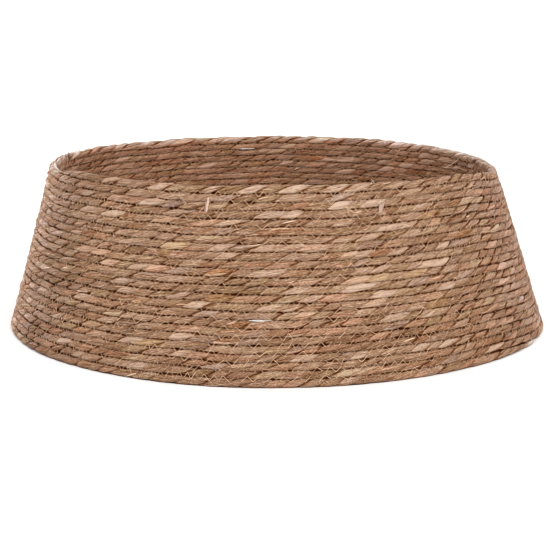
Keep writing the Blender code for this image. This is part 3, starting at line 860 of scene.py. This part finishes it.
def loose_fibres():
    rng = np.random.default_rng(71)
    paths = []
    for _ in range(4000):
        turn = rng.uniform(0.03, BODY_END - 0.03)
        face = 1.0 if rng.random() < 0.70 else -1.0
        length = 0.0035 + 0.011 * rng.random() ** 2
        slope = rng.normal(0.16, 0.20) if rng.random() < 0.8 else rng.normal(-0.3, 0.8)
        loose = rng.uniform(0.0004, 0.0016) if rng.random() < 0.18 else rng.uniform(0, 0.00025)
        paths.append(hair(rng, turn, rng.uniform(-0.0036, 0.0036), length, slope, rng.normal(0, 0.35),
                          rng.uniform(0.00008, 0.00026), loose, rng.uniform(0.00007, 0.00014),
                          rng.beta(1.6, 1.5), face))
    return paths


def slivers():
    """Torn edges and thin blades that lie on the plies."""
    rng = np.random.default_rng(72)
    paths = []
    for _ in range(520):
        turn = rng.uniform(0.03, BODY_END - 0.03)
        face = 1.0 if rng.random() < 0.68 else -1.0
        length = rng.uniform(0.006, 0.020)
        loose = rng.uniform(0.0003, 0.0012) if rng.random() < 0.25 else 0.0001
        paths.append(hair(rng, turn, rng.uniform(-0.0030, 0.0030), length, rng.normal(0.17, 0.07),
                          rng.normal(0, 0.12), rng.uniform(0.00004, 0.00016), loose,
                          rng.uniform(0.00025, 0.00065), rng.beta(1.4, 1.3), face, 8, 0.16, 0.0033))
    return paths


# frayed spots: turn, y (mm), fibres, spread (mm), mean slope, lift (mm), mean tone
FRAYS = [
    (22.1836, -3.0, 14, 5.0, -0.9, 1.0, 0.62),      # broken fibres near the rim
    (21.1621, 0.5, 12, 3.2, 1.1, 0.9, 0.66),        # beside the first strip
    (20.1621, 2.6, 8, 3.0, 0.6, 0.7, 0.60),
    (21.0901, -3.2, 8, 3.0, -1.0, 0.8, 0.70),       # crossing ends left of the second strip
    (20.0891, 3.0, 8, 3.0, -0.9, 0.8, 0.72),
    (20.0671, -2.0, 10, 2.6, 0.4, 0.7, 0.55),       # under the second strip
    (15.2031, 1.5, 9, 4.0, -0.5, 0.5, 0.86),        # yellowish ends
    (7.1541, 1.0, 9, 3.5, 0.3, 0.7, 0.60),          # by the open slit
    (7.1301, -2.0, 10, 3.0, -0.9, 0.8, 0.70),
    (8.1361, -3.3, 6, 3.5, 0.1, 0.6, 0.55),
    (20.8041, 1.0, 7, 6.0, 0.6, 1.1, 0.62),         # straws inside, at the right
    (20.8091, -2.0, 5, 5.0, -0.4, 0.9, 0.74),
    (17.6491, 3.2, 7, 3.0, -0.8, 0.7, 0.80),
    (10.2841, -2.0, 12, 6.0, 0.8, 0.8, 0.45),       # rough patch at the left edge
    (11.2891, 1.0, 12, 6.0, -0.7, 0.8, 0.50),
    (-0.0529, 1.0, 10, 4.0, 0.8, 0.7, 0.60),         # where the rope starts
    (23.2891, 1.0, 10, 4.0, 0.5, 0.7, 0.66),        # and where it ends
    (22.4203, 2.8, 14, 5.0, 0.9, 0.7, 0.10),        # dark frayed patch inside the left of the rim
    (22.4450, -2.6, 12, 5.0, -0.8, 0.5, 0.10),
]


def start_ends():
    """Pale torn blade ends at the rope's start, pressed on to the course that climbs over it."""
    paths = []
    f = np.linspace(0.0, 1.0, 9)
    for first, last, low, high, depth, half, tone in (
            (61.2, 66.3, -0.345, -0.225, 0.00415, 0.00130, 0.62), (61.8, 65.6, -0.260, -0.120, 0.00430, 0.00085, 0.86),
            (60.8, 65.0, -0.400, -0.370, 0.00400, 0.00070, 0.40)):
        deg = first + (last - first) * f
        paths.append(ribbon((START_AZIMUTH - deg) / 360.0, low + (high - low) * f,
                            depth - 0.0006 * (2 * f - 1) ** 4, half * np.sqrt(1.02 - f ** 6), 0.0006, tone))
    return paths


# single straws laid across the courses: half width (mm), tone, then azimuth and courses up
STRAWS = [
    (0.42, 0.86, (110.2, 22.40), (113.5, 21.60), (118.4, 20.40), (122.6, 19.60)),
    (0.36, 0.74, (122.6, 19.66), (118.8, 20.05), (115.2, 20.23), (109.1, 20.15)),
    (0.22, 0.66, (109.0, 22.70), (107.6, 22.10), (106.8, 21.45)),
    (0.34, 0.80, (140.2, 21.60), (141.2, 21.00), (142.4, 20.30)),
    (0.20, 0.60, (126.4, 20.80), (121.5, 20.95), (116.8, 21.20)),
]


def straws():
    """The stray straws inside the rim, at the right."""
    paths = []
    for half, tone, *knots in STRAWS:
        at = np.linspace(0.0, len(knots) - 1.0, 17)
        deg = np.interp(at, np.arange(len(knots)), [k[0] for k in knots])
        h = np.interp(at, np.arange(len(knots)), [k[1] for k in knots])
        a = np.radians(deg)
        al = lean(a)
        wave = np.clip(np.abs(h - np.round(h)) / 0.5, 0.0, 1.0)
        f = at / at[-1]
        p = wall_points(a, h, -(0.0046 - 0.0005 * wave ** 2 + 0.0008 * f * (1 - f)))
        ref = -np.stack([np.cos(al) * np.sin(a), -np.cos(al) * np.cos(a), np.sin(al)], -1)
        ends = np.sqrt(np.clip(1.0 - (2 * f - 1) ** 8, 0.15, 1.0))
        paths.append(dict(p=p, r=half * 0.001 * ends, ref=ref, tone=tone, flat=0.6))
    # two fibres that stand up off the rim
    for knots in (((21.7, 23.30), (21.4, 23.72), (20.9, 24.05)), ((20.9, 23.28), (21.0, 23.60), (21.6, 23.86))):
        at = np.linspace(0.0, 2.0, 7)
        a = np.radians(np.interp(at, (0, 1, 2), [k[0] for k in knots]))
        h = np.interp(at, (0, 1, 2), [k[1] for k in knots])
        al = lean(a)
        ref = np.stack([np.cos(al) * np.sin(a), -np.cos(al) * np.cos(a), np.sin(al)], -1)
        paths.append(dict(p=wall_points(a, h, 0.0022), r=0.00028 * np.sqrt(1.04 - (at / 2.0) ** 4), ref=ref, tone=0.80))
    return paths


def frays():
    rng = np.random.default_rng(73)
    paths = []
    for turn, y, count, spread, slope, lift, tone in FRAYS:
        inside = 0.38 < turn % 1.0 < 0.88
        for _ in range(count):
            along = rng.normal(0, spread * 0.0005) / 1.75
            paths.append(hair(rng, turn + along, y * 0.001 + rng.normal(0, 0.0010), rng.uniform(0.003, 0.008),
                              slope + rng.normal(0, 0.5), rng.normal(0, 0.5), 0.00025 + 0.0003 * rng.random(),
                              lift * 0.001 * rng.random(), rng.uniform(0.00009, 0.00020),
                              float(np.clip(tone + rng.normal(0, 0.14), 0, 1)), -1.0 if inside else 1.0))
    return paths


def fibre_material(name, stops):
    n = Nodes(name)
    uv = n.add("ShaderNodeUVMap", uv_map="ThreadUV").outputs[0]
    split = n.add("ShaderNodeSeparateXYZ")
    n.put(split.inputs[0], uv)
    tone = n.attribute("tone")
    grain = n.noise(n.vector(n.math("MULTIPLY", split.outputs[0], 0.35),
                             n.math("MULTIPLY", split.outputs[1], 9.0), n.math("MULTIPLY", tone, 90.0)), 1.0, 2.0, 0.6)
    level = n.math("ADD", tone, n.math("MULTIPLY", n.math("SUBTRACT", grain, 0.5), 0.45))
    n.put(n.bsdf.inputs["Base Color"], n.ramp(level, [(at, linear(*c)) for at, c in stops], "LINEAR"))
    n.bsdf.inputs["Roughness"].default_value = 0.62
    n.bsdf.inputs["Specular IOR Level"].default_value = 0.15
    n.put(n.bsdf.inputs["Normal"], n.bump(grain, 0.6, 0.0001))
    return n.mat


def ribbon(turns, h, depth, half, thickness, tone, rows=1):
    """Flat strip: azimuth from turns, courses h, depth off the course's middle."""
    n = len(h)
    a = azimuth(turns)
    p = wall_points(a, h, depth)
    al = lean(a)
    ref = np.stack([np.cos(al) * np.sin(a), -np.cos(al) * np.cos(a), np.sin(al)], -1)
    return dict(p=p, r=np.full(n, half) if np.isscalar(half) else half, ref=ref, tone=tone,
                flat=thickness / (2.0 * np.mean(half)), rows=rows)


def strip_paths(degrees_top, degrees_low, top, low, strands, crown, seed):
    """Strands of one blade strip laid down over the courses between two heights."""
    rng = np.random.default_rng(seed)
    paths = []
    f = np.linspace(0.0, 1.0, 15)
    for offset, half, tone, first, last, bow in strands:
        g = first + (last - first) * f
        h = top + (low - top) * g
        deg = degrees_top + (degrees_low - degrees_top) * g + (offset + bow * np.sin(math.pi * f)) / 0.00437
        wave = np.abs(h - np.round(h))                      # 0 on a course, 0.5 in a groove
        depth = crown - 0.0011 * np.clip(wave / 0.5, 0, 1) ** 1.6
        depth = depth - 0.0012 * np.clip(1.0 - f / 0.14, 0, 1) ** 2 - 0.0012 * np.clip(1.0 - (1 - f) / 0.14, 0, 1) ** 2
        width = half * (0.72 + 0.28 * np.sin(math.pi * np.clip(f * 1.15, 0, 1))) * (1 + 0.06 * rng.normal(size=len(f)))
        paths.append(ribbon((START_AZIMUTH - deg) / 360.0, h, depth, width, 0.00042, tone))
    return paths


# ------------------------------------------------------------------------ building
ROPE = rope_material()
THREAD = thread_material("stitch_thread_looks", (180, 136, 98), (232, 192, 152))


def build_rope():
    for k in range(FULL_TURNS + 1):
        i0 = k * N_TURN
        i1 = min((k + 1) * N_TURN, int(round(BODY_END * N_TURN)))
        name = "rope_course_%02d" % (k + 1)
        folds = FOLDS if k < FULL_TURNS else 5
        piece = rope_piece("twisted_" + name, i0, i1, ROPE, folds)
        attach(piece, "root")
        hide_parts(*[node for node in sorted(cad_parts) if node.startswith(name)])
    piece = rope_piece("twisted_rope_start", FIRST, 0, ROPE, 1)
    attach(piece, "root")
    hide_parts("rope_start_tail")
    piece = rope_piece("twisted_rope_end", int(round(BODY_END * N_TURN)), LAST, ROPE, 1)
    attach(piece, "root")
    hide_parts("rope_end_tail")


def build_stitches():
    at = 0
    for count in (5, 5, 5, 4, 4):
        rows = list(range(at, at + count))
        at += count
        paths = []
        for c in rows:
            paths.append(stitch_path(c, False, 500 + c))
            paths.append(stitch_path(c, True, 600 + c))
        piece = tube_bundle("stitching_%02d_to_%02d" % (rows[0] + 1, rows[-1] + 1), paths, 6, THREAD)
        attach(piece, "root")
        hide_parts(*["stitch_row_%02d" % (c + 1) for c in rows])


def build_small_things():
    fibre = fibre_material("loose_fibre_looks", [
        (0.0, (72, 42, 22)), (0.12, (116, 78, 48)), (0.3, (160, 118, 86)), (0.6, (198, 160, 128)), (0.85, (228, 198, 166)), (1.0, (244, 222, 196))])
    piece = tube_bundle("loose_fibres", loose_fibres() + frays() + straws(), 4, fibre, 6)
    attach(piece, "root")
    sliver = fibre_material("blade_sliver_looks", [
        (0.0, (126, 86, 56)), (0.35, (160, 120, 88)), (0.7, (192, 154, 122)), (1.0, (230, 202, 174))])
    piece = tube_bundle("blade_slivers", slivers(), 6, sliver, 4)
    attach(piece, "root")
    bleached = fibre_material("bleached_end_looks", [
        (0.0, (128, 110, 94)), (0.5, (170, 154, 138)), (1.0, (204, 192, 178))])
    piece = tube_bundle("blade_ends_at_start", start_ends(), 6, bleached)
    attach(piece, "root")
    strip = fibre_material("blade_strip_looks", [
        (0.0, (96, 64, 50)), (0.3, (158, 126, 112)), (0.6, (190, 160, 142)), (1.0, (238, 208, 180))])
    # offset, half width, tone, from, to, bow
    piece = tube_bundle("blade_strip_by_left_splice", strip_paths(-13.80, -14.20, 22.05, 20.15, (
        (0.0005, 0.00110, 0.68, 0.0, 1.0, 0.0004), (-0.0009, 0.00075, 0.34, 0.30, 1.0, 0.0001),
        (-0.0016, 0.00030, 0.10, 0.35, 0.95, 0.0)), 0.0050, 81), 8, strip)
    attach(piece, "root")
    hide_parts("blade_strip_1")
    piece = tube_bundle("blade_strip_by_right_splice", strip_paths(22.80, 22.30, 21.05, 19.72, (
        (-0.0001, 0.00205, 0.50, 0.10, 1.0, 0.0), (-0.0026, 0.00042, 0.10, 0.12, 0.75, 0.0),
        (0.0026, 0.00052, 0.66, -0.08, 0.55, -0.0004), (-0.0016, 0.00045, 0.60, 0.70, 1.12, -0.0003)), 0.0050, 82), 8, strip)
    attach(piece, "root")
    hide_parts("blade_strip_2")


build_rope()
build_stitches()
build_small_things()

# ------------------------------------------------------------- floor, light, camera
scene = bpy.context.scene


def build_floor():
    n = 96
    ang = np.linspace(0, 2 * math.pi, n, endpoint=False)
    co = [(30 * math.cos(t), 30 * math.sin(t), 0.0) for t in ang]
    mesh = bpy.data.meshes.new("studio_floor")
    mesh.from_pydata(co, [], [list(range(n))])
    floor = bpy.data.objects.new("studio_floor", mesh)
    scene.collection.objects.link(floor)
    n_ = Nodes("studio_floor_paint")
    n_.bsdf.inputs["Base Color"].default_value = (0.92, 0.92, 0.92, 1.0)
    n_.bsdf.inputs["Roughness"].default_value = 0.9
    n_.bsdf.inputs["Specular IOR Level"].default_value = 0.1
    mesh.materials.append(n_.mat)


build_floor()
world = bpy.data.worlds.new("studio")
scene.world = world
world.use_nodes = True
world.node_tree.nodes["Background"].inputs[0].default_value = (1.0, 1.0, 1.0, 1.0)
world.node_tree.nodes["Background"].inputs[1].default_value = 1.0
sun_data = bpy.data.lights.new("key", "SUN")
sun_data.energy = 1.7
sun_data.angle = math.radians(40.0)
sun = bpy.data.objects.new("key", sun_data)
scene.collection.objects.link(sun)
sun.rotation_euler = (math.radians(48.0), 0.0, math.radians(14.0))
scene.view_settings.view_transform = "Standard"
scene.cycles.filter_width = 1.0

camera_data = bpy.data.cameras.new("photo_camera")
camera_data.lens = 104.19
camera_data.sensor_width = 36.0
camera_data.clip_end = 200.0
camera = bpy.data.objects.new("photo_camera", camera_data)
scene.collection.objects.link(camera)
camera.location = (0.00002, -1.72272, 0.38831)
camera.rotation_euler = (math.radians(90.0 - 11.258), 0.0, 0.0)
scene.camera = camera
